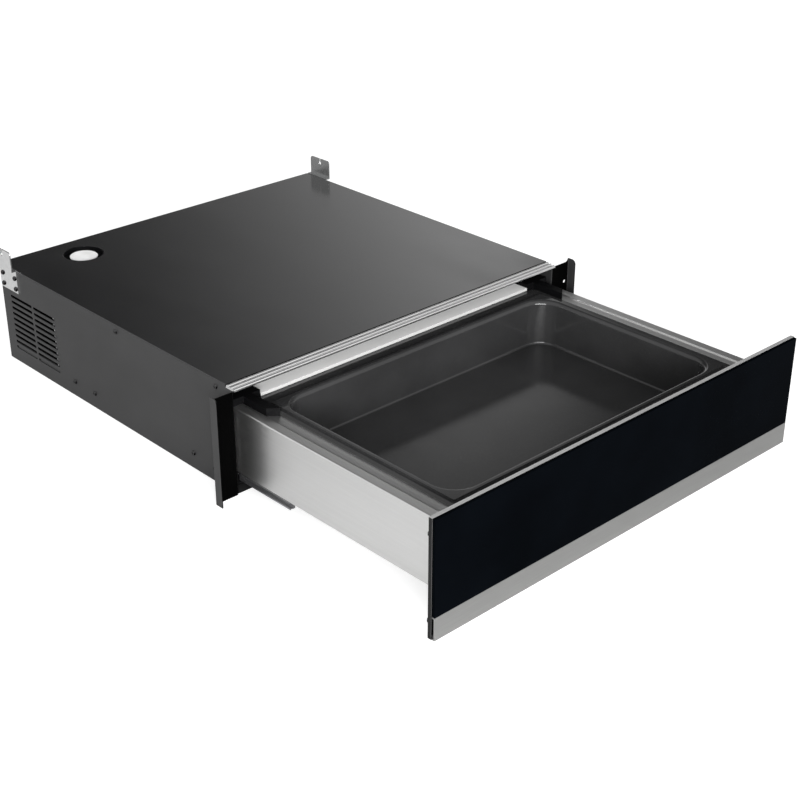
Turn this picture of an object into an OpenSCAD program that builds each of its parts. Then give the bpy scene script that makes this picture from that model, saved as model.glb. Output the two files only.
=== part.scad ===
// Built-in warming drawer, shown with its drawer pulled fully out.
// The front is -Y, up is +Z, and the origin is the middle of the cabinet's underside.
// Parts of the drawer are placed where they stand when shut, then moved out by the travel.

/* [Cabinet] */
// width over the two side panels
cab_w = 530; // [520:1:540]
// depth from the front edge to the rear panel
cab_d = 504; // [496:1:530]
// height over the top cover
cab_h = 138; // [136:1:146]
// thickness of the folded steel sheets
sheet = 1.2; // [0.8:0.1:1.4]
// width over the front ears
ear_w = 593; // [584:1:598]
// how far the lip of each ear stands forward
ear_lip = 12; // [8:1:16]
// diameter of the round port in the top cover
port_d = 54; // [44:1:60]

/* [Front panel] */
// how far the front panel stands past each ear
panel_over = 1; // [0:0.5:3]
// height of the front panel
panel_h = 140; // [138:1:144]
// thickness of the glass
glass_t = 4; // [3:0.5:6]
// depth of the steel carrier behind the glass
carrier_t = 5; // [4:0.5:8]
// height of the steel strip along the bottom
strip_h = 27; // [20:1:36]

/* [Drawer] */
// how far the drawer pulls out
travel = 330; // [260:1:330]
// gap between a drawer side and the cabinet side
side_gap = 2.8; // [2.2:0.1:3.6]
// height of the drawer's side walls above the cabinet's underside
wall_top = 110; // [108:1:112]
// height of the pan's floor above the cabinet's underside
pan_floor = 52; // [50:1:70]
// corner radius of the pan
pan_corner = 29; // [20:1:40]

/* [Hidden] */
$fn = 48;
wall_t = 1;
fold_r = 1;
lift = 1;
shut_gap = 3.6;
tech_d = 121;
screw_r = 1.5;
hole_play = 0.1;
xo = cab_w / 2;
xe = ear_w / 2;
xp = xe + panel_over;
y_front = -cab_d / 2;
y_rear = cab_d / 2;
y_lip = y_front - ear_lip;
y_back = y_lip - shut_gap;
y_part = y_rear - tech_d;
y_wall_end = y_part - 7.6;
x_wall = xo - sheet - side_gap;
x_in = x_wall - wall_t;
x_rail = xo - 2 * sheet;
cover_flange = 16.8;
z_cover = cab_h - sheet;
trim_d = 16;
trim_base = cab_h - 4.2;

wall_foot = 28;
ledge_z = wall_top - 1.2;
band_in = 12.5;
groove_in = 15;
ledge_in = 35;
floor_z = 31;
floor_half = x_in - 20;
shoulder_z = 51;
bright_half = x_in - 38.5;
bright_d = 40;
bright_z = wall_top + 4;

pan_half = x_wall - 45.5;
pan_t = 1;
pan_y0 = y_back + 47.6;
pan_y1 = y_wall_end - 71.4;
pan_rim_half = x_wall - 27.5;
pan_rim_y0 = y_back + 6;
pan_rim_y1 = y_wall_end - bright_d - 0.8;
pan_rim_z = ledge_z + 1.2;
pan_frame = 9;
pan_frame_z = pan_rim_z + 2.4;
pan_shoulder = 6;
pan_foot = 3;

rail_t = 1.2;
ball_r = 1.5;
groove_r = ball_r + 0.06;
flat_gap = 0.8;
ball_v = 5.5;
x_ball = x_in - 5.2;
z_low_rail = wall_foot - 8.8;
z_high_rail = z_low_rail + 19;
cage_t = 0.6;
cab_rail_y = [y_front + 2, y_part - 1];
mid_rail_y = [y_front + 80, y_part - 13];
drawer_rail_y = [y_back + 5.6, y_wall_end - 5.4];
cage_stop = 8;
low_cage_y = [mid_rail_y[0] + cage_stop, mid_rail_y[1] - travel / 4 - cage_stop];
high_cage_y = [mid_rail_y[0] + travel / 4 + cage_stop, drawer_rail_y[1] - travel / 4 - cage_stop];

blower_x = -165;
blower_y = y_part + 63;
scroll_z = [34, 66];
scroll_r = 52;
scroll_y = blower_y - 8.5;
outlet_y = [scroll_y - scroll_r + 1, scroll_y - scroll_r + 22];
duct_x = [-100, 120];
duct_d = 44;
gland_x = 200;
gland_z = 42;

// Shared shapes

// mirrors a right-hand piece to the left when the side is -1
module side(s) { if (s < 0) mirror([1, 0, 0]) children(); else children(); }

// moves a drawer piece out by a share of the travel
module out(share) { translate([0, -share * travel, 0]) children(); }

// a shape drawn in X and Z, swept along Y
module along_y(y) { translate([0, y[1], 0]) rotate([90, 0, 0]) linear_extrude(y[1] - y[0]) children(); }

// a shape drawn in Y and Z, swept along X
module along_x(x) { translate([x[0], 0, 0]) rotate([90, 0, 90]) linear_extrude(x[1] - x[0]) children(); }

// a box from its low corner to its high corner
module block(a, b) { translate(a) cube(b - a); }

// a rectangle from its low corner to its high corner
module area(a, b) { translate(a) square(b - a); }

// a quarter of a bent sheet: inside radius r, quadrant given by the signs qx and qz
module bend(c, r, t, qx, qz) {
    intersection() {
        translate(c) difference() { circle(r + t); circle(r); }
        translate(c + [min(qx, 0), min(qz, 0)] * (r + t)) square(r + t);
    }
}

// a rectangle with all four corners rounded
module soft_area(a, b, r) {
    area(a + [r, 0], b - [r, 0]);
    area(a + [0, r], b - [0, r]);
    for (x = [a[0] + r, b[0] - r], y = [a[1] + r, b[1] - r]) translate([x, y]) circle(r);
}

// an upright plate in X and Z with rounded corners, from y[0] to y[1]
module soft_plate(a, b, r, y) { along_y(y) soft_area(a, b, r); }

// a slot with round ends through a sheet that faces Y
module slot_y(x, z, w, h, y) { soft_plate([x - w / 2, z - h / 2], [x + w / 2, z + h / 2], h / 2 - 0.01, y); }

// a pan-head screw with a cross recess, head up, its shank ending at -len
module screw(len) {
    translate([0, 0, -len]) cylinder(r = screw_r, h = len);
    difference() {
        cylinder(r1 = 3.5, r2 = 2.7, h = 1.7);
        for (a = [0, 90]) rotate(a) translate([-1.8, -0.4, 0.8]) cube([3.6, 0.8, 1]);
    }
}

// Cabinet

high_screw = cab_h - 10;
low_screw = 21;
side_screw_yz = [[y_front + cab_d / 16, high_screw], [y_front + cab_d / 12, low_screw - 3],
    [y_front + cab_d / 6, low_screw], [y_front + 0.46 * cab_d, high_screw],
    [y_front + 0.584 * cab_d, low_screw], [y_front + 0.675 * cab_d, low_screw]];
bracket_y = [y_rear - 44, y_rear - 2];
bracket_z = [cab_h - 32, cab_h + 1];
bracket_t = 1.5;
bracket_step = 6;
bracket_top = cab_h + 27;
bracket_hole_y = [bracket_y[0] + 5, bracket_y[1] - 7];
bracket_hole_z = [bracket_z[0] + 5.5, bracket_z[0] + 20.5];
ear_hole_z = cab_h - 32;
ear_hole_x = xe - 7;
vent_rows = 10;
vent_pitch = 8.2;
vent_z = 22;
vent_y = [y_rear - 128, y_rear - 20];

module base_tray() {
    color("#2a2a2a") difference() {
        along_y([y_front + 2.4, y_rear - sheet]) {
            area([-xo + sheet + fold_r + sheet, 0], [xo - 2 * sheet - fold_r, sheet]);
            for (s = [-1, 1]) {
                translate([s * (xo - 1.5 * sheet) - sheet / 2, sheet + fold_r]) square([sheet, 26]);
                bend([s * (xo - 2 * sheet - fold_r), sheet + fold_r], fold_r, sheet, s, -1);
            }
        }
        for (i = [0:5], s = [-1, 1])
            translate([s * 20 + i * 14 * s + 60, y_rear - 34, -1]) linear_extrude(4) soft_area([-3, -20], [3, 20], 2.9);
        for (s = [-1, 1], p = side_screw_yz)
            if (p[1] < 40) translate([s * (xo - 1.5 * sheet), p[0], p[1]]) rotate([0, 90, 0])
                cylinder(r = screw_r + hole_play, h = 3 * sheet, center = true);
    }
}

// plan of a side panel: the wall, the ear bent outwards and its lip bent forwards
module side_panel_plan() {
    area([xo - sheet, y_front + sheet + fold_r], [xo, y_rear]);
    bend([xo + fold_r, y_front + sheet + fold_r], fold_r, sheet, -1, -1);
    area([xo + fold_r, y_front], [xe - sheet - fold_r, y_front + sheet]);
    bend([xe - sheet - fold_r, y_front - fold_r], fold_r, sheet, 1, 1);
    area([xe - sheet, y_lip], [xe, y_front - fold_r]);
}

module side_panel() {
    ear_top = cab_h - 5;
    curl = 5;
    difference() {
        translate([0, 0, 0.3]) linear_extrude(cab_h - 0.8) side_panel_plan();
        // room for the cover and the trim
        block([xo - 2 * sheet, y_front + trim_d - 4, z_cover - 0.2], [xo + 1, y_rear + 1, cab_h + 1]);
        block([xo - 2 * sheet, y_lip - 1, trim_base - 0.2], [xo + 0.6, y_front + trim_d - 3, cab_h + 1]);
        // the ear's top edge dips, then sweeps up to the lip
        block([xo + 0.5, y_front - 1.5, ear_top], [xe - sheet - curl, y_front + 5, cab_h + 1]);
        along_y([y_front - 1.5, y_front + 5]) translate([xe - sheet - curl, ear_top + curl]) circle(curl);
        // rounded top of the lip
        along_x([xe - 2 * sheet, xe + 1]) difference() {
            area([y_lip - 1, cab_h - 6.5], [y_lip + 6, cab_h + 1]);
            translate([y_lip + 6, cab_h - 6.5]) circle(6);
        }
        // rows of vents beside the technical compartment
        for (row = [0:vent_rows - 1], half = [0, 1])
            along_x([xo - 2 * sheet, xo + 1])
                soft_area([vent_y[0] + half * 56, vent_z + row * vent_pitch - 2],
                    [vent_y[0] + 52 + half * 56, vent_z + row * vent_pitch + 2], 1.9);
        // screw holes and the fixing hole in the ear
        for (p = side_screw_yz) translate([xo, p[0], p[1]]) rotate([0, 90, 0])
            cylinder(r = screw_r + hole_play, h = 4 * sheet, center = true);
        for (y = bracket_hole_y, z = bracket_hole_z) translate([xo, y, z]) rotate([0, 90, 0])
            cylinder(r = screw_r + hole_play, h = 4 * sheet, center = true);
        translate([ear_hole_x, y_front, ear_hole_z]) rotate([90, 0, 0]) cylinder(r = 2.25, h = 4 * sheet, center = true);
    }
}

module left_side_panel() { color("#303030") side(-1) side_panel(); }
module right_side_panel() { color("#303030") side(1) side_panel(); }

port_x = -167;
port_y = y_rear - 50;

module top_cover() {
    y0 = y_front + trim_d - 4;
    color("#262626") difference() {
        union() {
            block([-xo, y0, z_cover], [xo, y_rear, cab_h]);
            for (s = [-1, 1]) side(s)
                block([xo - 2 * sheet, y0 + 2, cab_h - cover_flange], [xo - sheet, y_rear - 14, z_cover + 0.1]);
            block([-xo + 2 * sheet, y0, cab_h - 11], [xo - 2 * sheet, y0 + sheet, z_cover + 0.1]);
        }
        translate([port_x, port_y, cab_h]) cylinder(r = port_d / 2, h = 4 * sheet, center = true);
        for (s = [-1, 1], p = side_screw_yz)
            if (p[1] > 40) translate([s * (xo - 1.5 * sheet), p[0], p[1]]) rotate([0, 90, 0])
                cylinder(r = screw_r + hole_play, h = 3 * sheet, center = true);
    }
}

module front_top_rail() {
    color("#101010") {
        y0 = y_front + 0.2;
        block([-xo + sheet, y0, trim_base - 3.2], [xo - sheet, y0 + sheet, trim_base]);
        block([-xo + sheet, y0, trim_base - sheet], [xo - sheet, y_front + trim_d - 5, trim_base]);
    }
}

// three rounded ridges that step down towards the mouth
module ribbed_trim() {
    pitch = trim_d / 3;
    ridge_r = 1.9;
    color("#a8a8a8") along_x([-xo, xo]) {
        area([y_front - 4, trim_base], [y_front - 4 + trim_d, trim_base + 1.3]);
        for (i = [0:2]) {
            c = [y_front - 4 + trim_d - pitch * (i + 0.5), cab_h - ridge_r - 0.8 * i];
            intersection() {
                translate(c) circle(ridge_r);
                area(c - [ridge_r, c[1] - trim_base], c + [ridge_r, ridge_r]);
            }
            area([c[0] - ridge_r, trim_base], [c[0] + ridge_r, c[1]]);
        }
    }
}

module port_cup() {
    r = port_d / 2;
    color("#060606") difference() {
        union() {
            translate([port_x, port_y, z_cover - 1.6]) cylinder(r = r + 5, h = 1.6);
            translate([port_x, port_y, z_cover - 5]) cylinder(r = r, h = 5 + sheet - 0.2);
        }
        translate([port_x, port_y, z_cover - 3.4]) cylinder(r = r - 1.4, h = 8);
    }
}

module port_cap() {
    color("#f4f4f4") translate([port_x, port_y, z_cover - 3.4]) {
        cylinder(r = 18.5, h = 1.4);
        translate([0, 0, 1.4]) cylinder(r1 = 18.5, r2 = 17.7, h = 0.6);
    }
}

module rear_panel() {
    color("#242424") difference() {
        union() {
            block([-xo + sheet, y_rear - sheet, 0.3], [xo - sheet, y_rear, z_cover - 0.2]);
            for (s = [-1, 1]) side(s)
                block([xo - 2 * sheet, y_rear - 12, 29], [xo - sheet, y_rear - 0.5, cab_h - cover_flange - 2]);
            block([-xo + 12, y_rear - 12, z_cover - sheet - 0.2], [xo - 12, y_rear - 0.5, z_cover - 0.2]);
        }
        for (i = [0:11], row = [0:4])
            slot_y(-20 + i * 16, 30 + row * 18, 10, 4, [y_rear - 3, y_rear + 1]);
        translate([gland_x, y_rear, gland_z]) rotate([90, 0, 0]) cylinder(r = 8, h = 10, center = true);
    }
}

// a folded fixing bracket: a tab on the cabinet side, a small step out, and a tab above the cover
module rear_bracket() {
    x1 = xo + bracket_step + bracket_t;
    difference() {
        union() {
            block([xo, bracket_y[0], bracket_z[0]], [xo + bracket_t, bracket_y[1], bracket_z[1] - 0.1]);
            block([xo, bracket_y[0], bracket_z[1] - bracket_t], [x1, bracket_y[1], bracket_z[1]]);
            block([x1 - bracket_t, bracket_y[0], bracket_z[1] - bracket_t], [x1, bracket_y[1], bracket_top]);
        }
        // rounded top corners
        for (k = [0, 1]) along_x([xo - 1, x1 + 1]) difference() {
            area([bracket_y[k] - 4, bracket_top - 4], [bracket_y[k] + 4, bracket_top + 1]);
            translate([bracket_y[k] + (k == 0 ? 4 : -4), bracket_top - 4]) circle(4);
        }
        // keyhole, open at the top
        y_mid = (bracket_y[0] + bracket_y[1]) / 2;
        translate([x1, y_mid, bracket_top - 7]) rotate([0, 90, 0]) cylinder(r = 2.6, h = 6, center = true);
        block([x1 - 4, y_mid - 1.2, bracket_top - 7], [x1 + 1, y_mid + 1.2, bracket_top + 1]);
        for (y = bracket_hole_y, z = bracket_hole_z) translate([xo, y, z]) rotate([0, 90, 0])
            cylinder(r = screw_r + hole_play, h = 8, center = true);
    }
}

module left_rear_bracket() { color("#c9c9c9") side(-1) rear_bracket(); }
module right_rear_bracket() { color("#c9c9c9") side(1) rear_bracket(); }

module side_screws() {
    color("#3a3a3a") for (s = [-1, 1], p = side_screw_yz) side(s)
        translate([xo, p[0], p[1]]) rotate([0, 90, 0]) screw(2 * sheet);
}

module bracket_screws() {
    color("#8a8a8a") for (s = [-1, 1], y = bracket_hole_y, z = bracket_hole_z) side(s)
        translate([xo + bracket_t, y, z]) rotate([0, 90, 0]) screw(bracket_t + sheet);
}

module partition() {
    color("#b8b8b8") difference() {
        union() {
            block([-x_rail, y_part, sheet], [x_rail, y_part + sheet, z_cover - 0.2]);
            block([-x_rail + 12, y_part, sheet], [x_rail - 12, y_part + 12, 2 * sheet]);
        }
        // hot air outlet, return air and the hole of the push latch
        for (i = [0:10]) slot_y(duct_x[0] + 14 + i * 19, 42, 14, 10, [y_part - 1, y_part + 3]);
        for (s = [-1, 1], i = [0:4]) slot_y(s * (150 + i * 22), 96, 14, 6, [y_part - 1, y_part + 3]);
        translate([0, y_part, latch_z]) rotate([90, 0, 0]) cylinder(r = 4.6, h = 10, center = true);
    }
}

// Technical compartment

module blower_motor() {
    color("#8c8c8c") difference() {
        union() {
            block([blower_x - 34, blower_y - 34, sheet], [blower_x + 34, blower_y + 34, sheet + 2]);
            translate([blower_x, blower_y, sheet]) cylinder(r = 27, h = 28);
            translate([blower_x, blower_y, sheet + 28]) cylinder(r = 13, h = scroll_z[0] - sheet - 28);
            for (a = [0:45:315]) translate([blower_x, blower_y, sheet + 6]) rotate(a) translate([26, -1.5, 0]) cube([3, 3, 18]);
        }
        translate([blower_x, blower_y, 20]) cylinder(r = 2.55, h = 40);
    }
}

// plan of the scroll: an off-centre round body with an outlet towards +X
module volute(grow) {
    translate([blower_x, scroll_y]) circle(scroll_r + grow);
    area([blower_x, outlet_y[0] - grow], [duct_x[0], outlet_y[1] + grow]);
}

module blower_scroll() {
    wall = 1.2;
    color("#a9adb0") difference() {
        translate([0, 0, scroll_z[0]]) linear_extrude(scroll_z[1] - scroll_z[0]) volute(0);
        translate([0, 0, scroll_z[0] + wall]) linear_extrude(scroll_z[1]) volute(-wall);
        block([duct_x[0] - 3, outlet_y[0] + wall, scroll_z[0] + wall], [duct_x[0] + 1, outlet_y[1] - wall, scroll_z[1] + 1]);
        translate([blower_x, blower_y, scroll_z[0]]) cylinder(r = 5, h = 6, center = true);
    }
}

module blower_lid() {
    color("#b4b8bb") difference() {
        union() {
            translate([0, 0, scroll_z[1]]) linear_extrude(1.2) volute(0);
            translate([blower_x, blower_y, scroll_z[1]]) cylinder(r = 31, h = 4);
        }
        translate([blower_x, blower_y, scroll_z[1]]) cylinder(r = 29, h = 20, center = true);
    }
}

module heater_duct() {
    y = [y_part + sheet, y_part + sheet + duct_d];
    color("#b4b8bb") difference() {
        block([duct_x[0], y[0], scroll_z[0]], [duct_x[1], y[1], scroll_z[1]]);
        block([duct_x[0] + 1, y[0] - 1, scroll_z[0] + 1], [duct_x[1] - 1, y[1] - 1, scroll_z[1] - 1]);
        block([duct_x[0] - 1, outlet_y[0] + 1.2, scroll_z[0] + 1.2], [duct_x[0] + 2, outlet_y[1] - 1.2, scroll_z[1] - 1.2]);
        for (d = [-10, 10]) translate([duct_x[1], y[0] + duct_d / 2 + d, 50]) rotate([0, 90, 0]) cylinder(r = 3.4, h = 8, center = true);
    }
}

// a finned tube heater bent once, with both ends through the duct's end wall
module heating_element() {
    y_mid = y_part + sheet + duct_d / 2;
    bend_x = duct_x[0] + 16;
    color("#6f6f72") {
        for (d = [-10, 10]) translate([bend_x, y_mid + d, 50]) rotate([0, 90, 0]) cylinder(r = 3.25, h = duct_x[1] + 12 - bend_x);
        translate([bend_x, y_mid, 50]) rotate(90) rotate_extrude(angle = 180) translate([10, 0]) circle(3.25);
        for (i = [0:13]) block([bend_x + 12 + i * 12, y_mid - 17, 38], [bend_x + 12.8 + i * 12, y_mid + 17, 62]);
        for (d = [-10, 10]) block([duct_x[1] + 12, y_mid + d - 3, 49.6], [duct_x[1] + 20, y_mid + d + 3, 50.4]);
    }
}

module thermostats() {
    color("#d8d2c4") for (x = [30, 72]) translate([x, y_part + sheet + duct_d / 2, scroll_z[1]]) {
        cylinder(r = 11, h = 1);
        cylinder(r = 8, h = 8);
        for (d = [-4, 4]) translate([d - 2.4, -0.4, 8]) cube([4.8, 0.8, 7]);
    }
}

board_x = [140, 244];
board_y = [y_part + 15.5, y_part + 77];

module board_tray() {
    color("#e0ddd2") {
        difference() {
            block([board_x[0] - 3, board_y[0] - 3, sheet], [board_x[1] + 3, board_y[1] + 3, 7]);
            block([board_x[0] - 1, board_y[0] - 1, sheet + 1.8], [board_x[1] + 1, board_y[1] + 1, 9]);
        }
        for (x = [board_x[0] + 6, board_x[1] - 6], y = [board_y[0] + 6, board_y[1] - 6])
            translate([x, y, sheet + 1]) cylinder(r = 3, h = 11 - sheet);
    }
}

module power_board() {
    color("#2e6b3a") block([board_x[0], board_y[0], 12], [board_x[1], board_y[1], 13.6]);
}

module board_parts() {
    color("#20242c") translate([board_x[0], board_y[0], 13.6]) {
        block([8, 14, 0], [44, 46, 27]);
        block([52, 10, 0], [71, 26, 16]);
        block([52, 32, 0], [71, 48, 16]);
        translate([84, 18, 0]) cylinder(r = 6, h = 20);
        translate([84, 36, 0]) cylinder(r = 4, h = 12);
        for (i = [0:2]) block([76 + i * 8, 52, 0], [83 + i * 8, 61, 11]);
    }
}

module terminal_block() {
    x0 = gland_x - 24;
    y0 = y_rear - 38;
    color("#ece9e0") difference() {
        block([x0, y0, sheet], [x0 + 48, y0 + 22, 22]);
        for (i = [0:2]) {
            translate([x0 + 8 + i * 16, y0 + 11, 14]) cylinder(r = 3.6, h = 9);
            translate([x0 + 8 + i * 16, y0 + 11, 9]) rotate([90, 0, 0]) cylinder(r = 2.4, h = 30, center = true);
        }
    }
}

module cable_gland() {
    color("#1a1a1a") translate([gland_x, y_rear, gland_z]) rotate([90, 0, 0]) difference() {
        union() {
            translate([0, 0, -12]) cylinder(r = 8.5, h = 9);
            translate([0, 0, -4]) cylinder(r = 11, h = 4, $fn = 6);
            translate([0, 0, -1]) cylinder(r = 7.9, h = 10);
            translate([0, 0, sheet]) cylinder(r = 11, h = 4, $fn = 6);
        }
        cylinder(r = 4, h = 60, center = true);
    }
}

latch_z = 94;
latch_push = 5;
plunger_len = 47;
striker_t = 1.6;
y_plunger = y_wall_end + striker_t + 0.3;

module latch_housing() {
    y0 = y_part + sheet;
    bore_end = y_plunger + plunger_len + latch_push + 2;
    color("#3c3c40") difference() {
        union() {
            block([-13, y0, latch_z - 10], [13, bore_end + 3, latch_z + 10]);
            block([-24, y0, latch_z - 10], [24, y0 + 3, latch_z + 10]);
        }
        translate([0, y0 - 1, latch_z]) rotate([-90, 0, 0]) cylinder(r = 4.06, h = bore_end - y0 + 1);
        for (s = [-1, 1]) translate([s * 18.5, y0, latch_z]) rotate([90, 0, 0]) cylinder(r = 2, h = 10, center = true);
    }
}

module latch_plunger() {
    color("#e8e8e8") translate([0, y_plunger, latch_z]) rotate([-90, 0, 0]) {
        translate([0, 0, 1]) cylinder(r = 4, h = plunger_len - 1);
        cylinder(r1 = 3, r2 = 4, h = 1);
    }
}

module striker() {
    color("#5a5a5e") out(1) soft_plate([-12, latch_z - 8], [12, latch_z + 8], 3, [y_wall_end, y_wall_end + striker_t]);
}

module motor_shaft() { color("#c8c8c8") translate([blower_x, blower_y, 24]) cylinder(r = 2.5, h = 34); }

module blower_impeller() {
    z0 = scroll_z[0] + 3.2;
    h = 24;
    color("#9aa0a4") translate([blower_x, blower_y, z0]) difference() {
        union() {
            cylinder(r = 38, h = 1.2);
            cylinder(r = 9, h = 14);
            for (i = [0:23]) rotate(i * 15) translate([33.2, 0, 0.6]) rotate(38) translate([-5, -0.5, 0]) cube([9, 1, h - 1.2]);
            translate([0, 0, h - 1.2]) difference() {
                cylinder(r = 38.4, h = 1.2);
                translate([0, 0, -1]) cylinder(r = 35.6, h = 4);
            }
        }
        cylinder(r = 2.52, h = 80, center = true);
    }
}

// Ball slides: each side has a cabinet rail, a middle rail and a drawer rail

// a rail lip with a rolled ball groove; the ball is at height zb and the lip lies on the given side of it
module groove_lip(x0, x1, zb, at) {
    z0 = at > 0 ? zb + flat_gap : zb - flat_gap - rail_t;
    difference() {
        union() {
            area([x0, z0], [x1, z0 + rail_t]);
            intersection() {
                translate([x_ball, zb]) circle(groove_r + rail_t);
                translate([x_ball - 5, at > 0 ? zb + flat_gap : zb - flat_gap - 5]) square([10, 5]);
            }
        }
        translate([x_ball, zb]) circle(groove_r);
    }
}

// a C-shaped rail that holds the balls from outside
module outer_rail(x_web, x_tip, zc, y) {
    v = ball_v + flat_gap + rail_t;
    along_y(y) {
        area([x_web - rail_t, zc - v], [x_web, zc + v]);
        for (s = [-1, 1]) groove_lip(x_tip, x_web, zc + s * ball_v, s);
    }
}

// the middle rail: one web with a low pair and a high pair of lips inside the two outer rails
module middle_rail() {
    v = ball_v - flat_gap;
    along_y(mid_rail_y) {
        area([x_ball - 4.8, z_low_rail - v], [x_ball - 3.6, z_high_rail + v]);
        for (zc = [z_low_rail, z_high_rail], s = [-1, 1])
            groove_lip(x_ball - 4.8, x_ball + 2.2, zc + s * ball_v, -s);
    }
}

// a cage strip with its two rows of loose balls
module ball_cage(zc, y, count) {
    pitch = (y[1] - y[0]) / count;
    x_back = x_ball + groove_r + rail_t + 0.3;
    difference() {
        along_y(y) {
            area([x_back, zc - ball_v - cage_t / 2], [x_back + cage_t, zc + ball_v + cage_t / 2]);
            for (s = [-1, 1])
                area([x_ball - 2.2, zc + s * ball_v - cage_t / 2], [x_back + cage_t, zc + s * ball_v + cage_t / 2]);
        }
        for (i = [0:count - 1], s = [-1, 1])
            translate([x_ball, y[0] + pitch * (i + 0.5), zc + s * ball_v]) cylinder(r = ball_r + 0.1, h = 2, center = true);
    }
    for (i = [0:count - 1], s = [-1, 1])
        translate([x_ball, y[0] + pitch * (i + 0.5), zc + s * ball_v]) sphere(r = ball_r);
}

module cabinet_rail() { outer_rail(x_rail, x_ball - 1.8, z_low_rail, cab_rail_y); }
module drawer_rail() { outer_rail(x_in, x_ball - 2.6, z_high_rail, drawer_rail_y); }
module left_cabinet_rail() { color("#b5b7ba") side(-1) cabinet_rail(); }
module right_cabinet_rail() { color("#b5b7ba") side(1) cabinet_rail(); }
module left_middle_rail() { color("#c2c4c6") side(-1) out(0.5) middle_rail(); }
module right_middle_rail() { color("#c2c4c6") side(1) out(0.5) middle_rail(); }
module left_low_cage() { color("#8f9296") side(-1) out(0.25) ball_cage(z_low_rail, low_cage_y, 8); }
module right_low_cage() { color("#8f9296") side(1) out(0.25) ball_cage(z_low_rail, low_cage_y, 8); }
module left_high_cage() { color("#8f9296") side(-1) out(0.75) ball_cage(z_high_rail, high_cage_y, 6); }
module right_high_cage() { color("#8f9296") side(1) out(0.75) ball_cage(z_high_rail, high_cage_y, 6); }
module left_drawer_rail() { color("#b5b7ba") side(-1) out(1) drawer_rail(); }
module right_drawer_rail() { color("#b5b7ba") side(1) out(1) drawer_rail(); }

// Drawer

// section of a drawer side: wall, folded edge, band, groove, ledge and inner lip
module drawer_side_section() {
    r = 2;
    groove = 2.6;
    x_band = x_wall - band_in;
    x_ledge = x_wall - groove_in;
    area([x_in, wall_foot], [x_wall, wall_top - r]);
    bend([x_wall - r, wall_top - r], r - wall_t, wall_t, 1, 1);
    area([x_band, wall_top - wall_t], [x_wall - r, wall_top]);
    polygon([[x_band, wall_top], [x_band - 0.7, wall_top - groove], [x_ledge, ledge_z], [x_ledge, ledge_z - wall_t],
        [x_band - 0.9, wall_top - groove - wall_t], [x_band + 0.8, wall_top - groove - 0.2], [x_band + 1, wall_top - wall_t]]);
    area([x_wall - ledge_in, ledge_z - wall_t], [x_ledge, ledge_z]);
    area([x_wall - ledge_in, ledge_z - 6.6], [x_wall - ledge_in + wall_t, ledge_z]);
}

module left_drawer_side() { color("#c5c5c5") side(-1) out(1) along_y([y_back, y_wall_end - wall_t]) drawer_side_section(); }
module right_drawer_side() { color("#c5c5c5") side(1) out(1) along_y([y_back, y_wall_end - wall_t]) drawer_side_section(); }

module drawer_floor() {
    color("#a8a8a8") out(1) difference() {
        along_y([y_back + 0.4, y_wall_end - wall_t]) {
            area([-floor_half, floor_z], [floor_half, floor_z + wall_t]);
            for (s = [-1, 1]) side(s) {
                area([floor_half - wall_t, floor_z], [floor_half, shoulder_z + wall_t]);
                area([floor_half - wall_t, shoulder_z], [x_in, shoulder_z + wall_t]);
            }
        }
        // two rows of air holes under the pan
        for (i = [0:8], row = [0, 1])
            translate([-160 + i * 40, y_back + (row + 1) * (y_wall_end - y_back) / 3, floor_z]) cylinder(r = 6, h = 6, center = true);
    }
}

module drawer_rear_wall() {
    y = [y_wall_end - wall_t, y_wall_end];
    color("#dcdcdc") out(1) difference() {
        union() {
            block([-floor_half, y[0], floor_z], [floor_half, y[1], ledge_z - wall_t]);
            block([-x_in, y[0], shoulder_z + wall_t], [x_in, y[1], ledge_z - wall_t]);
            block([-bright_half, y[0], floor_z], [bright_half, y[1], bright_z]);
            block([-bright_half, y_wall_end - bright_d, bright_z - wall_t], [bright_half, y[1], bright_z]);
            block([-bright_half, y_wall_end - bright_d, pan_rim_z + 0.3],
                [bright_half, y_wall_end - bright_d + wall_t, bright_z]);
        }
        for (i = [0:10]) slot_y(duct_x[0] + 14 + i * 19, 41, 14, 10, [y[0] - 1, y[1] + 1]);
        for (s = [-1, 1], i = [0:4]) slot_y(s * (150 + i * 22), 94, 14, 6, [y[0] - 1, y[1] + 1]);
    }
}

// a black block that closes the rear corner between the wall, the pan and the bright plate
module rear_corner() {
    y0 = y_wall_end - bright_d;
    x_ledge = x_wall - groove_in - 0.2;
    x_pan = pan_rim_half + 0.5;
    top = bright_z + 4.6;
    block([bright_half + 0.2, y0 + 0.8, ledge_z], [x_ledge, y_wall_end, top]);
    block([bright_half + 0.2, y0 + 0.8, wall_top], [x_in, y_wall_end, top]);
    translate([0, 0, ledge_z]) linear_extrude(top - ledge_z)
        polygon([[x_pan, y0 + 1], [x_pan, y0 - 50], [x_ledge, y0 - 40], [x_ledge, y0 + 1]]);
}

module left_rear_corner() { color("#0c0c0c") side(-1) out(1) rear_corner(); }
module right_rear_corner() { color("#0c0c0c") side(1) out(1) rear_corner(); }

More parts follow.
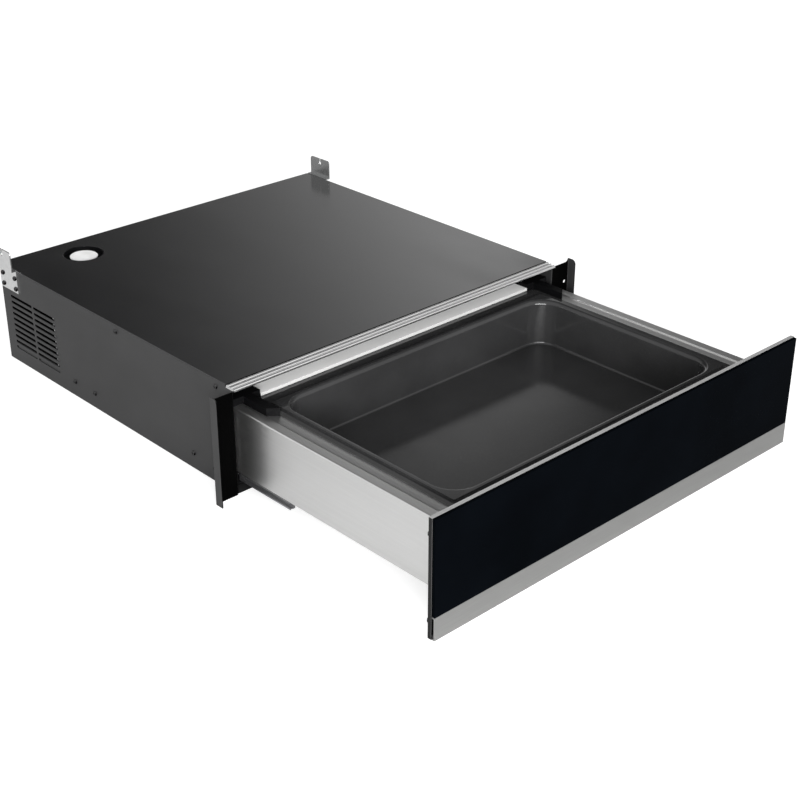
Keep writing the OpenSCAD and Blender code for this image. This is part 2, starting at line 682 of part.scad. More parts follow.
// an open tub with round corners and a rounded foot: half width, front and back, corner and foot radius
module tub(w, y, z, rc, rf) {
    translate([0, 0, z[0] + rf]) linear_extrude(z[1] - z[0] - rf) soft_area([-w, y[0]], [w, y[1]], rc);
    translate([0, 0, z[0]]) linear_extrude(rf) {
        area([-w + rc, y[0] + rf], [w - rc, y[1] - rf]);
        area([-w + rf, y[0] + rc], [w - rf, y[1] - rc]);
        for (x = [-w + rc, w - rc], yy = [y[0] + rc, y[1] - rc]) translate([x, yy]) circle(rc - rf);
    }
    for (s = [0, 1]) {
        translate([-w + rc, (s == 0 ? y[0] + rf : y[1] - rf), z[0] + rf]) rotate([0, 90, 0]) cylinder(r = rf, h = 2 * (w - rc));
        translate([(s == 0 ? -w + rf : w - rf), y[0] + rc, z[0] + rf]) rotate([-90, 0, 0]) cylinder(r = rf, h = y[1] - y[0] - 2 * rc);
    }
    for (c = [[-w + rc, y[0] + rc, 180], [w - rc, y[0] + rc, 270], [w - rc, y[1] - rc, 0], [-w + rc, y[1] - rc, 90]])
        translate([c[0], c[1], z[0] + rf]) rotate(c[2]) rotate_extrude(angle = 90) translate([rc - rf, 0])
            intersection() { circle(rf); translate([0, -rf]) square([rf, 2 * rf]); }
}

// the rounded shoulder from the pan's wall to its rim: a bent sheet swept round the opening
module pan_shoulder_ring() {
    r = pan_shoulder;
    for (s = [-1, 1]) {
        side(s) along_y([pan_y0 + pan_corner, pan_y1 - pan_corner])
            bend([pan_half + r, pan_frame_z - r], r - pan_t, pan_t, -1, 1);
        along_x([-pan_half + pan_corner, pan_half - pan_corner])
            bend([s > 0 ? pan_y1 + r : pan_y0 - r, pan_frame_z - r], r - pan_t, pan_t, -s, 1);
    }
    for (c = [[pan_half, pan_y1, 0], [-pan_half, pan_y1, 90], [-pan_half, pan_y0, 180], [pan_half, pan_y0, 270]])
        translate([c[0] - sign(c[0]) * pan_corner, c[1] == pan_y1 ? pan_y1 - pan_corner : pan_y0 + pan_corner, 0])
            rotate(c[2]) rotate_extrude(angle = 90) bend([pan_corner + r, pan_frame_z - r], r - pan_t, pan_t, -1, 1);
}

// a plan round the pan's opening, grown outwards by a margin
module pan_plan(grow) {
    soft_area([-pan_half - grow, pan_y0 - grow], [pan_half + grow, pan_y1 + grow], pan_corner + grow);
}

module warming_pan() {
    top = pan_frame_z - pan_shoulder;
    color("#1e1e1e") out(1) {
        difference() {
            tub(pan_half + pan_t, [pan_y0 - pan_t, pan_y1 + pan_t], [pan_floor - pan_t, top],
                pan_corner + pan_t, pan_foot + pan_t);
            tub(pan_half, [pan_y0, pan_y1], [pan_floor, wall_top + 20], pan_corner, pan_foot);
        }
        pan_shoulder_ring();
        // a low frame with square corners round the opening, on a flange that rests on the ledges
        difference() {
            union() {
                translate([0, 0, pan_rim_z - 0.2]) linear_extrude(pan_frame_z - pan_rim_z + 0.2)
                    soft_area([-pan_half - pan_frame, pan_y0 - pan_frame], [pan_half + pan_frame, pan_y1 + pan_frame], 2);
                translate([0, 0, ledge_z]) linear_extrude(pan_rim_z - ledge_z)
                    soft_area([-pan_rim_half, pan_rim_y0], [pan_rim_half, pan_rim_y1], 6);
            }
            translate([0, 0, ledge_z - 1]) linear_extrude(pan_frame_z - ledge_z + 2) pan_plan(pan_shoulder);
        }
    }
}

module front_angle() {
    difference() {
        union() {
            block([x_in - 28, y_back, 58], [x_in, y_back + 1.5, 100]);
            block([x_in - 1.5, y_back, 58], [x_in, y_back + 30, 100]);
        }
        for (z = [68, 90]) translate([x_in - 18, y_back, z]) rotate([90, 0, 0]) cylinder(r = screw_r + hole_play, h = 8, center = true);
    }
}

module left_front_angle() { color("#b0b0b0") side(-1) out(1) front_angle(); }
module right_front_angle() { color("#b0b0b0") side(1) out(1) front_angle(); }

module front_screws() {
    color("#8a8a8a") for (s = [-1, 1], z = [68, 90]) side(s) out(1)
        translate([x_in - 18, y_back + 1.5, z]) rotate([-90, 0, 0]) screw(1.5 + 1.2);
}

glass_inset = 0.8;
strip_top = lift + strip_h;
y_carrier = y_back - carrier_t;

module front_carrier() {
    color("#9a9a9a") out(1) difference() {
        block([-xp, y_carrier, lift], [xp, y_back, lift + panel_h]);
        difference() {
            block([-xp + 1.2, y_carrier - 1, lift + 1.2], [xp - 1.2, y_back - 1.2, lift + panel_h - 1.2]);
            // bonding pads that carry the glass and the strip
            for (x = [-180, -90, 90, 180], z = [20, 96]) block([x - 18, y_carrier, z], [x + 18, y_back, z + 16]);
        }
        for (s = [-1, 1], z = [68, 90]) translate([s * (x_in - 18), y_back, z]) rotate([90, 0, 0])
            cylinder(r = screw_r + hole_play, h = 4, center = true);
    }
}

module front_glass() {
    color("#040608") out(1) block([-xp + glass_inset, y_carrier - glass_t, strip_top + 0.4],
        [xp - glass_inset, y_carrier, lift + panel_h - 0.4]);
}

module front_strip() {
    color("#a4a4a4") out(1) union() {
        block([-xp + glass_inset, y_carrier - glass_t, lift], [xp - glass_inset, y_carrier - glass_t + 1.5, strip_top]);
        block([-xp + glass_inset, y_carrier - glass_t, lift], [xp - glass_inset, y_carrier, lift + 1.5]);
        block([-xp + glass_inset, y_carrier - glass_t, strip_top - 1.5], [xp - glass_inset, y_carrier, strip_top]);
    }
}

module bumpers() {
    color("#202020") out(1) for (s = [-1, 1], z = [20, panel_h - 20])
        translate([s * (xe - 4.2), y_back, z]) rotate([-90, 0, 0]) {
            cylinder(r = 4, h = 2.3);
            translate([0, 0, 2.3]) cylinder(r1 = 4, r2 = 3, h = 1);
        }
}

module control_box() {
    color("#2c2c2c") out(1) difference() {
        block([-62, y_back, 46], [62, y_back + 18, 92]);
        block([-60, y_back - 1, 48], [60, y_back + 16, 90]);
    }
}

module touch_board() { color("#2e6b3a") out(1) block([-60, y_back, 48], [60, y_back + 1.6, 90]); }

base_tray();
left_side_panel();
right_side_panel();
top_cover();
rear_panel();
front_top_rail();
ribbed_trim();
port_cup();
port_cap();
left_rear_bracket();
right_rear_bracket();
side_screws();
bracket_screws();
partition();
left_cabinet_rail();
right_cabinet_rail();
blower_motor();
blower_scroll();
blower_lid();
heater_duct();
heating_element();
thermostats();
board_tray();
power_board();
board_parts();
terminal_block();
cable_gland();
latch_housing();
motor_shaft();
blower_impeller();
latch_plunger();
left_middle_rail();
right_middle_rail();
left_low_cage();
right_low_cage();
left_high_cage();
right_high_cage();
left_drawer_side();
right_drawer_side();
drawer_floor();
drawer_rear_wall();
striker();
left_rear_corner();
right_rear_corner();
warming_pan();
left_drawer_rail();
right_drawer_rail();
left_front_angle();
right_front_angle();
front_screws();
front_carrier();
front_glass();
front_strip();
bumpers();
control_box();
touch_board();
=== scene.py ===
"""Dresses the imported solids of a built-in warming drawer: finishes, soft edges and a plain studio."""

import math

import bpy
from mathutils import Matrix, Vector


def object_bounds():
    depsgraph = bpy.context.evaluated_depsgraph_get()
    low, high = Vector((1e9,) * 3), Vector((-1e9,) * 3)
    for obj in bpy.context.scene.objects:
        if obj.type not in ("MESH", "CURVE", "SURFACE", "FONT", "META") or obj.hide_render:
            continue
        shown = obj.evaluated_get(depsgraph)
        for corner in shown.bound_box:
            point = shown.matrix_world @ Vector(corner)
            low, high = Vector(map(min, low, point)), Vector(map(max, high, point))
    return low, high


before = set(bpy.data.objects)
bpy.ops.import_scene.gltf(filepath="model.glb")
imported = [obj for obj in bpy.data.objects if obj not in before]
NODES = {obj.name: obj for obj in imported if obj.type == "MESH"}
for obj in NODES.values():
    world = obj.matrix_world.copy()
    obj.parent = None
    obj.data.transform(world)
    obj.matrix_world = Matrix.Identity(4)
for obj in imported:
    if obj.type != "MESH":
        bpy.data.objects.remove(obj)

bl_info = {
    "name": "Warming drawer looks",
    "version": (1, 0, 0),
    "blender": (4, 5, 0),
    "location": "3D View > Sidebar > Warming drawer",
    "description": "Gives the steel, enamel, glass and plastic of a warming drawer their finish",
    "category": "Object",
}

CAD_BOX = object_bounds()
MM = 0.001


def colour_property(name, description, default):
    """A colour that a user may change, in linear light."""
    return bpy.props.FloatVectorProperty(
        name=name, description=description, subtype="COLOR", size=3, min=0, max=1, default=default
    )


def length_property(name, description, default):
    """A small size in metres that a user may change."""
    return bpy.props.FloatProperty(
        name=name, description=description, unit="LENGTH", precision=5, min=0, max=0.01, default=default
    )


class FinishColours(bpy.types.PropertyGroup):
    """Colours of the drawer's finishes."""

    cover: colour_property("Cover enamel", "Black enamel of the top cover", (0.010, 0.010, 0.0105))
    side: colour_property("Side enamel", "Black enamel of the sides, base and rear", (0.024, 0.024, 0.0245))
    steel: colour_property("Drawer steel", "Satin steel of the drawer box", (0.72, 0.72, 0.715))
    bright: colour_property("Bright steel", "Rear plate behind the pan", (0.95, 0.95, 0.94))
    strip: colour_property("Strip steel", "Brushed strip under the glass", (0.36, 0.36, 0.355))
    trim: colour_property("Ribbed trim", "Ridges over the mouth", (0.80, 0.80, 0.80))
    pan: colour_property("Pan coat", "Dark non-stick coat of the pan", (0.023, 0.023, 0.0235))
    glass: colour_property("Glass", "Black print behind the glass", (0.0006, 0.0009, 0.0014))
    zinc: colour_property("Zinc", "Galvanised sheet and brackets", (0.96, 0.97, 0.97))
    rail: colour_property("Slide steel", "Plated ball slides", (0.42, 0.42, 0.43))
    black: colour_property("Black plastic", "Mouldings and blackened trim", (0.003, 0.003, 0.0033))
    white: colour_property("White plastic", "Cap of the round port, latch plunger", (0.94, 0.94, 0.93))
    ivory: colour_property("Ivory plastic", "Thermostats, board tray and terminals", (0.68, 0.65, 0.56))
    stack: colour_property("Motor stack", "Steel sheets of the fan's motor", (0.2, 0.2, 0.21))
    element: colour_property("Heater tube", "Heat-stained steel of the heating element", (0.16, 0.15, 0.15))
    lacquer: colour_property("Board lacquer", "Green lacquer of the circuit boards", (0.02, 0.13, 0.05))
    track: colour_property("Board tracks", "Copper tracks under the lacquer", (0.09, 0.3, 0.08))


class EdgeSizes(bpy.types.PropertyGroup):
    """Widths of the softened edges."""

    sheet: length_property("Sheet edge", "Softening of sheet metal edges", 0.25 * MM)
    glass: length_property("Glass edge", "Ground edge of the glass", 0.6 * MM)
    moulded: length_property("Moulded edge", "Softening of plastic mouldings", 0.4 * MM)


class StudioSettings(bpy.types.PropertyGroup):
    """Camera and light of the studio."""

    azimuth: bpy.props.FloatProperty(
        name="Azimuth",
        description="Camera's turn to the left of the front",
        subtype="ANGLE",
        default=math.radians(43.07),
    )
    elevation: bpy.props.FloatProperty(
        name="Elevation",
        description="Camera's tilt down",
        subtype="ANGLE",
        default=math.radians(27.32),
    )
    camera_place: bpy.props.FloatVectorProperty(
        name="Camera place",
        description="Where the camera stands",
        subtype="TRANSLATION",
        default=(-1.1435, -1.4632, 0.8898),
    )
    lens: bpy.props.FloatProperty(
        name="Lens",
        description="Focal length in millimetres on a 36 mm frame",
        unit="CAMERA",
        default=67.8,
    )
    key_power: bpy.props.FloatProperty(
        name="Key light",
        description="Power of the key light in watts",
        unit="POWER",
        min=0,
        default=100,
    )


def put(socket, value):
    """Fills an input with a value, or links it to another node's output."""
    if isinstance(value, bpy.types.NodeSocket):
        socket.id_data.links.new(value, socket)
    elif hasattr(socket.default_value, "__len__") and len(socket.default_value) == 4 and len(value) == 3:
        socket.default_value = (*value, 1)
    else:
        socket.default_value = value


def add(material, kind, inputs=None, **settings):
    """Adds one shader node with its settings and inputs."""
    node = material.node_tree.nodes.new("ShaderNode" + kind)
    for name, value in settings.items():
        setattr(node, name, value)
    for name, value in (inputs or {}).items():
        put(node.inputs[name], value)
    return node


def new_material(name, **shader_values):
    """A material with only a principled shader; returns it and the shader."""
    material = bpy.data.materials.new(name)
    material.use_nodes = True
    shader = material.node_tree.nodes["Principled BSDF"]
    for socket, value in shader_values.items():
        put(shader.inputs[socket.replace("_", " ")], value)
    return material, shader


def object_space(material, scale=(1, 1, 1)):
    """Places in the object's own space, stretched by a scale for each axis."""
    place = add(material, "TexCoord").outputs["Object"]
    if tuple(scale) == (1, 1, 1):
        return place
    return add(material, "Mapping", {"Vector": place, "Scale": scale}).outputs["Vector"]


def noise(material, size, detail=2.0, stretch=(1, 1, 1), roughness=0.5):
    """Cloudy noise whose blotches are about size metres across."""
    inputs = {
        "Vector": object_space(material, stretch),
        "Scale": 1 / size,
        "Detail": detail,
        "Roughness": roughness,
    }
    return add(material, "TexNoise", inputs).outputs["Fac"]


def spread(material, value, low, high, start=0.3, end=0.7):
    """Maps a mask from start..end to low..high."""
    inputs = {"Value": value, "From Min": start, "From Max": end, "To Min": low, "To Max": high}
    return add(material, "MapRange", inputs).outputs["Result"]


def mix(material, factor, first, second):
    """Mixes two colours."""
    node = add(material, "Mix", data_type="RGBA")
    put(node.inputs["Factor"], factor)
    put(node.inputs[6], first)
    put(node.inputs[7], second)
    return node.outputs[2]


def times(material, first, second):
    """Multiplies two masks."""
    node = add(material, "Math", operation="MULTIPLY")
    put(node.inputs[0], first)
    put(node.inputs[1], second)
    return node.outputs[0]


def tint(colour, factor):
    """The colour made lighter or darker."""
    return tuple(min(1.0, c * factor) for c in colour)


def cloudy(material, colour, size, detail, low, high):
    """The colour in blotches about size metres across, from low to high times as light."""
    blotches = spread(material, noise(material, size, detail), 0, 1)
    return mix(material, blotches, tint(colour, low), tint(colour, high))


def bump(material, shader, height, depth, strength=1.0):
    """Raises the surface by a mask, depth metres at most."""
    inputs = {"Height": height, "Distance": depth, "Strength": strength}
    put(shader.inputs["Normal"], add(material, "Bump", inputs).outputs["Normal"])


def edge_mask(material, width):
    """1 on outer edges narrower than width, broken up as wear is."""
    soft = add(material, "Bevel", {"Radius": width}, samples=4).outputs["Normal"]
    flat = add(material, "NewGeometry").outputs["Normal"]
    angle = add(material, "VectorMath", operation="DOT_PRODUCT")
    put(angle.inputs[0], soft)
    put(angle.inputs[1], flat)
    worn = spread(material, angle.outputs["Value"], 1, 0, 0.86, 0.99)
    return times(material, worn, spread(material, noise(material, 6 * MM, 4), 0.2, 1))


def worn_edges(material, base, width, strength, bare):
    """The base colour with its edges worn towards the bare colour."""
    return mix(material, times(material, edge_mask(material, width), strength), base, bare)


def facing(material, axis, either_way=False):
    """1 on faces that look against an axis, or along it too, and 0 on all others."""
    outward = add(material, "NewGeometry").outputs["Normal"]
    normal = add(material, "SeparateXYZ", {"Vector": outward}).outputs[axis]
    if either_way:
        size = add(material, "Math", operation="ABSOLUTE")
        put(size.inputs[0], normal)
        return spread(material, size.outputs[0], 0, 1, 0.6, 0.9)
    return spread(material, normal, 0, 1, -0.6, -0.9)


def enamel(name, colour, roughness, gloss=0.5, peel=1.2 * MM):
    """Satin enamel on sheet steel: orange peel, faint smears and rubbed edges, with painted shade on faces
    that look to the front: a near-black colour and a lower IOR that weakens their reflection.
    """
    material, shader = new_material(name, Specular_IOR_Level=gloss)
    coat = cloudy(material, colour, 60 * MM, 3, 0.9, 1.12)
    rubbed = worn_edges(material, coat, 0.5 * MM, 0.35, tint(colour, 4))
    # Painted shade: faces that look to the front get a near-black colour and a lower IOR, so they reflect
    # less.
    front = facing(material, "Y")
    put(shader.inputs["Base Color"], mix(material, front, rubbed, tint(colour, 0.04)))
    put(shader.inputs["IOR"], spread(material, front, 1.5, 1.04, 0, 1))
    smear = noise(material, 90 * MM, 5, (1, 0.35, 1))
    put(shader.inputs["Roughness"], spread(material, smear, roughness - 0.04, roughness + 0.05))
    bump(material, shader, noise(material, peel, 2), 0.02 * MM, 0.2)
    return material


def brushed(name, colour, along, roughness, contrast=0.1, painted_shade_faces=""):
    """Brushed metal with its grain along one axis; the last argument paints shade on faces: X on both
    sides, Y on the front.
    """
    material, shader = new_material(name, Metallic=1.0)
    stretch = [1.0, 1.0, 1.0]
    stretch["XYZ".index(along)] = 0.012
    grain = noise(material, 0.5 * MM, 3, stretch, 0.65)
    broad = noise(material, 4 * MM, 3, stretch)
    dark, light = tint(colour, 1 - contrast), tint(colour, 1 + contrast)
    streaks = mix(material, spread(material, grain, 0, 1), dark, light)
    banded = mix(material, spread(material, broad, 0, 0.5), streaks, tint(colour, 0.93))
    worn = worn_edges(material, banded, 0.4 * MM, 0.5, tint(colour, 1.35))
    # Painted shade: faces along the given axes are darkened nearly to black.
    for axis in painted_shade_faces:
        worn = mix(material, facing(material, axis, either_way=axis == "X"), worn, tint(colour, 0.03))
    put(shader.inputs["Base Color"], worn)
    put(shader.inputs["Roughness"], spread(material, grain, roughness - 0.05, roughness + 0.07))
    bump(material, shader, grain, 0.02 * MM, 0.1)
    return material


def blasted(name, colour, roughness):
    """Bead-blasted bright sheet: diffuse, with a fine even grain and painted shade on faces that look to
    the front.
    """
    material, shader = new_material(name)
    grain = noise(material, 0.4 * MM, 2)
    sheet = cloudy(material, colour, 45 * MM, 3, 0.95, 1.04)
    # Painted shade: faces that look to the front are half as light.
    put(shader.inputs["Base Color"], mix(material, facing(material, "Y"), sheet, tint(colour, 0.5)))
    put(shader.inputs["Roughness"], spread(material, grain, roughness - 0.06, roughness + 0.06))
    bump(material, shader, grain, 0.015 * MM, 0.3)
    return material


def spangled(name, colour, roughness):
    """Galvanised steel with the faint leaf pattern of its zinc."""
    material, shader = new_material(name, Metallic=1.0)
    leaf = add(material, "TexVoronoi", {"Vector": object_space(material), "Scale": 1 / (4 * MM)})
    tone = add(material, "SeparateColor", {"Color": leaf.outputs["Color"]}).outputs["Red"]
    grey = mix(material, spread(material, tone, 0, 1, 0, 1), tint(colour, 0.94), tint(colour, 1.04))
    put(shader.inputs["Base Color"], worn_edges(material, grey, 0.4 * MM, 0.5, tint(colour, 1.4)))
    put(shader.inputs["Roughness"], spread(material, tone, roughness - 0.03, roughness + 0.04, 0, 1))
    bump(material, shader, noise(material, 0.8 * MM, 3), 0.01 * MM, 0.3)
    return material


def coated_pan(name, colour):
    """Dark non-stick coat: fine speckle, soft gloss and a few worn rubs."""
    material, shader = new_material(name, Specular_IOR_Level=0.4)
    speck = spread(material, noise(material, 0.9 * MM, 2), 0, 1, 0.6, 0.72)
    coat = cloudy(material, colour, 50 * MM, 4, 0.88, 1.15)
    specked = mix(material, times(material, speck, 0.4), coat, tint(colour, 2.6))
    put(shader.inputs["Base Color"], worn_edges(material, specked, 0.8 * MM, 0.25, tint(colour, 4)))
    rub = noise(material, 30 * MM, 5, (1, 0.5, 1))
    put(shader.inputs["Roughness"], spread(material, rub, 0.11, 0.14))
    bump(material, shader, noise(material, 0.7 * MM, 3), 0.03 * MM, 0.3)
    return material


def black_glass(name, colour):
    """Polished glass over an opaque black print, with faint finger smears."""
    material, shader = new_material(name, IOR=1.04)
    put(shader.inputs["Base Color"], cloudy(material, colour, 80 * MM, 4, 1, 1.7))
    smears = noise(material, 35 * MM, 5, (1, 1, 0.5))
    put(shader.inputs["Roughness"], spread(material, smears, 0.04, 0.11, 0.4, 0.8))
    bump(material, shader, noise(material, 120 * MM, 1), 0.05 * MM, 0.1)
    return material


def moulded(name, colour, roughness, gloss=0.4, grain=0.6 * MM):
    """Moulded plastic with a fine spark-eroded grain."""
    material, shader = new_material(name, Specular_IOR_Level=gloss)
    skin = cloudy(material, colour, 15 * MM, 3, 0.9, 1.1)
    put(shader.inputs["Base Color"], worn_edges(material, skin, 0.5 * MM, 0.3, tint(colour, 1.8)))
    sheen = noise(material, 3 * MM, 3)
    put(shader.inputs["Roughness"], spread(material, sheen, roughness - 0.05, roughness + 0.06))
    bump(material, shader, noise(material, grain, 2), 0.03 * MM, 0.35)
    return material


def circuit_board(name, lacquer, track):
    """Lacquered board with straight tracks under its lacquer."""
    material, shader = new_material(name, Specular_IOR_Level=0.5)
    inputs = {
        "Vector": object_space(material),
        "Scale": 1 / (6 * MM),
        "Mortar Size": 0.08,
        "Brick Width": 1.4,
        "Row Height": 0.45,
    }
    tracks = add(material, "TexBrick", inputs).outputs["Fac"]
    put(shader.inputs["Base Color"], mix(material, tracks, lacquer, track))
    put(shader.inputs["Roughness"], spread(material, noise(material, 5 * MM), 0.3, 0.45))
    bump(material, shader, tracks, 0.04 * MM)
    return material


def soften(node_names, width, segments=2):
    """Rounds the edges of CAD nodes by modifiers and leaves their meshes alone."""
    for name in node_names:
        piece = NODES[name]
        piece.data.shade_smooth()
        weld = piece.modifiers.new("Weld", "WELD")
        weld.merge_threshold = 0.002 * MM
        bevel = piece.modifiers.new("Soft edges", "BEVEL")
        bevel.width = width
        bevel.segments = segments
        bevel.limit_method = "ANGLE"
        bevel.angle_limit = math.radians(40)
        bevel.harden_normals = False
        normals = piece.modifiers.new("Even shading", "WEIGHTED_NORMAL")
        normals.keep_sharp = False


def finish_nodes(node_names, material):
    """Gives CAD nodes one finish."""
    for name in node_names:
        mesh = NODES[name].data
        mesh.materials.clear()
        mesh.materials.append(material)


def both(name):
    """The left and right nodes of a pair."""
    return ["left_" + name, "right_" + name]


class DRAWER_OT_shell(bpy.types.Operator):
    """Finishes the enamelled sheets of the cabinet"""

    bl_idname = "warming_drawer.shell"
    bl_label = "Cabinet shell"

    def execute(self, context):
        colours = context.scene.drawer_colours
        sheets = both("side_panel") + ["base_tray", "rear_panel"]
        finish_nodes(sheets, enamel("side_enamel", colours.side, 0.42, 0.42))
        finish_nodes(["top_cover"], enamel("cover_enamel", colours.cover, 0.16, 1.0))
        soften(sheets + ["top_cover"], context.scene.drawer_edges.sheet)
        return {"FINISHED"}


class DRAWER_OT_mouth(bpy.types.Operator):
    """Finishes the rail and the ribbed trim over the mouth, and the round port"""

    bl_idname = "warming_drawer.mouth"
    bl_label = "Mouth trim and port"

    def execute(self, context):
        colours = context.scene.drawer_colours
        black = moulded("black_mouldings", colours.black, 0.5, 0.04)
        finish_nodes(["front_top_rail", "port_cup"], black)
        finish_nodes(["ribbed_trim"], brushed("ribbed_metal", colours.trim, "X", 0.3))
        finish_nodes(["port_cap"], moulded("white_cap", colours.white, 0.35))
        soften(["front_top_rail", "port_cup", "port_cap"], context.scene.drawer_edges.moulded)
        return {"FINISHED"}


class DRAWER_OT_brackets(bpy.types.Operator):
    """Finishes the rear brackets and all screws"""

    bl_idname = "warming_drawer.brackets"
    bl_label = "Brackets and screws"

    def execute(self, context):
        colours = context.scene.drawer_colours
        finish_nodes(["left_rear_bracket"], spangled("galvanised", colours.zinc, 0.15))
        # Painted shade: the right bracket takes the same zinc at 0.4 times its colour, a shaded copy of the
        # left bracket's finish.
        finish_nodes(["right_rear_bracket"], spangled("zinc_painted_shade", tint(colours.zinc, 0.4), 0.25))
        finish_nodes(["front_screws"], brushed("zinc_screws", colours.rail, "Z", 0.3))
        finish_nodes(["side_screws", "bracket_screws"], enamel("black_screws", colours.side, 0.45, 0.3))
        soften(both("rear_bracket"), context.scene.drawer_edges.sheet)
        return {"FINISHED"}


class DRAWER_OT_technics(bpy.types.Operator):
    """Finishes the fan, the heater and the electrical parts behind the partition"""

    bl_idname = "warming_drawer.technics"
    bl_label = "Fan, heater and board"

    def execute(self, context):
        colours = context.scene.drawer_colours
        sheet = ["partition", "blower_scroll", "blower_lid", "heater_duct", "blower_impeller"]
        finish_nodes(sheet, spangled("inner_zinc", colours.zinc, 0.42))
        finish_nodes(["blower_motor"], brushed("motor_stack", colours.stack, "X", 0.45))
        finish_nodes(["heating_element"], brushed("element_tube", colours.element, "X", 0.5))
        finish_nodes(["motor_shaft"], brushed("ground_shaft", colours.rail, "Z", 0.25))
        pale = ["thermostats", "board_tray", "terminal_block"]
        finish_nodes(pale, moulded("pale_plastic", colours.ivory, 0.5))
        boards = circuit_board("board_lacquer", colours.lacquer, colours.track)
        finish_nodes(["power_board", "touch_board"], boards)
        dark = ["board_parts", "cable_gland", "latch_housing", "control_box"]
        finish_nodes(dark, moulded("dark_plastic", colours.black, 0.45))
        finish_nodes(["latch_plunger"], moulded("plunger_plastic", colours.white, 0.35))
        soften(pale + dark, context.scene.drawer_edges.moulded)
        soften(["partition"], context.scene.drawer_edges.sheet)
        return {"FINISHED"}


class DRAWER_OT_slides(bpy.types.Operator):
    """Finishes the ball slides"""

    bl_idname = "warming_drawer.slides"
    bl_label = "Ball slides"

    def execute(self, context):
        colours = context.scene.drawer_colours
        plated = brushed("plated_slide", colours.rail, "Y", 0.4)
        # Painted shade: the cabinet rails take the slide steel at 0.3 times its colour, and their front
        # faces are painted near black.
        shaded_slide_steel = brushed("slide_painted_shade", tint(colours.rail, 0.3), "Y", 0.45, painted_shade_faces="Y")
        # Painted shade: the front faces of the ball cages are painted near black.
        balls = brushed("ball_steel", colours.rail, "Y", 0.2, painted_shade_faces="Y")
        finish_nodes(both("middle_rail") + both("drawer_rail"), plated)
        finish_nodes(both("cabinet_rail"), shaded_slide_steel)
        finish_nodes(both("low_cage") + both("high_cage"), balls)
        return {"FINISHED"}


class DRAWER_OT_box(bpy.types.Operator):
    """Finishes the steel box of the drawer"""

    bl_idname = "warming_drawer.box"
    bl_label = "Drawer box"

    def execute(self, context):
        colours = context.scene.drawer_colours
        walls = both("drawer_side") + both("front_angle") + ["drawer_floor"]
        finish_nodes(walls, brushed("drawer_steel", colours.steel, "Y", 0.33, 0.04))
        # Painted shade: the carrier's two side faces and its front face are painted near black.
        carrier = brushed("carrier_steel", tint(colours.steel, 1.35), "X", 0.5, painted_shade_faces="XY")
        finish_nodes(["front_carrier"], carrier)
        finish_nodes(["drawer_rear_wall"], blasted("rear_plate", colours.bright, 0.5))
        finish_nodes(both("rear_corner"), moulded("corner_blocks", colours.black, 0.45, 0.05))
        finish_nodes(["striker"], brushed("striker_zinc", colours.rail, "X", 0.35))
        finish_nodes(["bumpers"], moulded("bumper_rubber", colours.black, 0.7))
        soften(walls + ["front_carrier", "drawer_rear_wall", "striker"], context.scene.drawer_edges.sheet)
        soften(both("rear_corner"), context.scene.drawer_edges.moulded)
        return {"FINISHED"}


class DRAWER_OT_pan(bpy.types.Operator):
    """Finishes the lift-out pan"""

    bl_idname = "warming_drawer.pan"
    bl_label = "Pan"

    def execute(self, context):
        finish_nodes(["warming_pan"], coated_pan("pan_coat", context.scene.drawer_colours.pan))
        soften(["warming_pan"], context.scene.drawer_edges.moulded)
        return {"FINISHED"}


class DRAWER_OT_front(bpy.types.Operator):
    """Finishes the glass and the steel strip of the front"""

    bl_idname = "warming_drawer.front"
    bl_label = "Glass and strip"

    def execute(self, context):
        colours = context.scene.drawer_colours
        finish_nodes(["front_glass"], black_glass("black_glass", colours.glass))
        finish_nodes(["front_strip"], brushed("brushed_strip", colours.strip, "X", 0.36))
        soften(["front_glass"], context.scene.drawer_edges.glass, 3)
        soften(["front_strip"], context.scene.drawer_edges.sheet)
        return {"FINISHED"}


def soft_light(name, place, target, size, power):
    """A rectangular studio light that looks at its target."""
    light = bpy.data.lights.new(name, "AREA")
    light.shape = "RECTANGLE"
    light.size = size[0]
    light.size_y = size[1]
    light.energy = power
    lamp = bpy.data.objects.new(name, light)
    lamp.location = place
    lamp.rotation_euler = (Vector(target) - Vector(place)).to_track_quat("-Z", "Y").to_euler()
    bpy.context.scene.collection.objects.link(lamp)


def seen_ray(target, kinds):
    """1 for rays of the given kinds, such as Camera or Glossy, and 0 for all others."""
    path = add(target, "LightPath")
    seen = path.outputs[f"Is {kinds[0]} Ray"]
    for kind in kinds[1:]:
        both_kinds = add(target, "Math", operation="MAXIMUM")
        put(both_kinds.inputs[0], seen)
        put(both_kinds.inputs[1], path.outputs[f"Is {kind} Ray"])
        seen = both_kinds.outputs[0]
    return seen


def studio_room(world):
    """Pale walls, higher in front and on the left, and a softbox on the right under a dark ceiling."""
    white = (1, 1, 1)
    pale = (0.9, 0.9, 0.9)
    grey = (0.7, 0.7, 0.7)
    dark = (0.05, 0.05, 0.05)
    lit = (1.2, 1.2, 1.2)
    place = add(world, "SeparateXYZ", {"Vector": add(world, "TexCoord").outputs["Generated"]})
    lean = add(world, "Math", operation="MULTIPLY_ADD")
    put(lean.inputs[0], place.outputs["Z"])
    put(lean.inputs[1], 0.8)
    put(lean.inputs[2], place.outputs["X"])
    rise = spread(world, place.outputs["X"], 0, 1, 0.44, 0.69)
    slanted_end = spread(world, lean.outputs[0], 1, 0.1, 1.0, 1.07)
    right_end = spread(world, place.outputs["X"], 1, 0.1, 0.69, 0.72)
    softbox = times(world, times(world, rise, rise), times(world, slanted_end, right_end))
    ceiling = mix(world, softbox, dark, lit)
    with_front = mix(world, spread(world, place.outputs["Y"], 1, 0, -0.35, 0), ceiling, pale)
    with_left = mix(world, spread(world, place.outputs["X"], 1, 0, -0.3, 0.1), with_front, pale)
    room = mix(world, spread(world, place.outputs["Z"], 1, 0, 0.08, 0.24), with_left, white)
    mirrored = mix(world, seen_ray(world, ["Glossy", "Transmission"]), grey, room)
    seen = mix(world, seen_ray(world, ["Camera"]), mirrored, white)
    put(world.node_tree.nodes["Background"].inputs["Color"], seen)


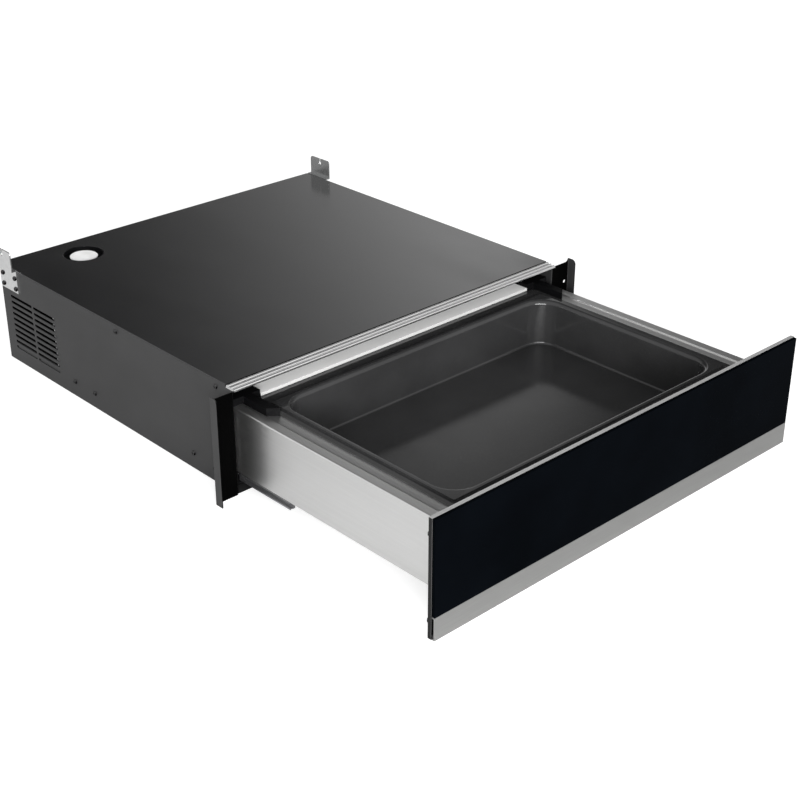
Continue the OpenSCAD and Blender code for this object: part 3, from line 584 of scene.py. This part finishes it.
def studio_floor(scene):
    """A pale floor that turns white to the camera where no shadow lies."""
    floor_mesh = bpy.data.meshes.new("studio_floor")
    reach = 6
    corners = [(-reach, -reach, 0), (reach, -reach, 0), (reach, reach, 0), (-reach, reach, 0)]
    floor_mesh.from_pydata(corners, [], [(0, 1, 2, 3)])
    floor = bpy.data.objects.new("studio_floor", floor_mesh)
    floor.location.z = CAD_BOX[0][2] - 0.5 * MM
    scene.collection.objects.link(floor)
    pale, shader = new_material("pale_floor", Roughness=0.8, Emission_Color=(1, 1, 1))
    shade = spread(pale, noise(pale, 0.4, 2), 0.60, 0.63)
    grey = add(pale, "CombineColor", {"Red": shade, "Green": shade, "Blue": shade})
    put(shader.inputs["Base Color"], grey.outputs["Color"])
    put(shader.inputs["Emission Strength"], spread(pale, seen_ray(pale, ["Camera"]), 0, 0.62, 0, 1))
    floor_mesh.materials.append(pale)


class DRAWER_OT_studio(bpy.types.Operator):
    """Sets the floor, the lights and the camera"""

    bl_idname = "warming_drawer.studio"
    bl_label = "Studio"

    def execute(self, context):
        scene = context.scene
        studio = scene.drawer_studio
        scene.world = bpy.data.worlds.new("studio_world")
        scene.world.use_nodes = True
        studio_room(scene.world)
        studio_floor(scene)
        soft_light("key_light", (-1.15, -2.2, 0.72), (0, -0.25, 0.05), (2.2, 0.5), studio.key_power)
        camera_data = bpy.data.cameras.new("photo_camera")
        camera_data.lens = studio.lens
        camera_data.sensor_width = 36
        camera = bpy.data.objects.new("photo_camera", camera_data)
        camera.location = studio.camera_place
        camera.rotation_euler = (math.pi / 2 - studio.elevation, 0, -studio.azimuth)
        scene.collection.objects.link(camera)
        scene.camera = camera
        scene.view_settings.view_transform = "Standard"
        return {"FINISHED"}


OPERATORS = (
    DRAWER_OT_shell,
    DRAWER_OT_mouth,
    DRAWER_OT_brackets,
    DRAWER_OT_technics,
    DRAWER_OT_slides,
    DRAWER_OT_box,
    DRAWER_OT_pan,
    DRAWER_OT_front,
    DRAWER_OT_studio,
)


class DRAWER_PT_looks(bpy.types.Panel):
    """Lists the steps that dress the drawer"""

    bl_idname = "DRAWER_PT_looks"
    bl_label = "Warming drawer"
    bl_space_type = "VIEW_3D"
    bl_region_type = "UI"
    bl_category = "Warming drawer"

    def draw(self, context):
        for operator in OPERATORS:
            self.layout.operator(operator.bl_idname, text=operator.bl_label)


SETTINGS = {"drawer_colours": FinishColours, "drawer_edges": EdgeSizes, "drawer_studio": StudioSettings}


def register():
    for group in SETTINGS.values():
        bpy.utils.register_class(group)
    for operator in OPERATORS:
        bpy.utils.register_class(operator)
    bpy.utils.register_class(DRAWER_PT_looks)
    for name, group in SETTINGS.items():
        setattr(bpy.types.Scene, name, bpy.props.PointerProperty(type=group))


def unregister():
    for name in SETTINGS:
        delattr(bpy.types.Scene, name)
    bpy.utils.unregister_class(DRAWER_PT_looks)
    for operator in reversed(OPERATORS):
        bpy.utils.unregister_class(operator)
    for group in reversed(SETTINGS.values()):
        bpy.utils.unregister_class(group)


def main():
    """Registers the add-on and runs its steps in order."""
    register()
    for operator in OPERATORS:
        group, name = operator.bl_idname.split(".")
        getattr(getattr(bpy.ops, group), name)()


if __name__ == "__main__":
    main()
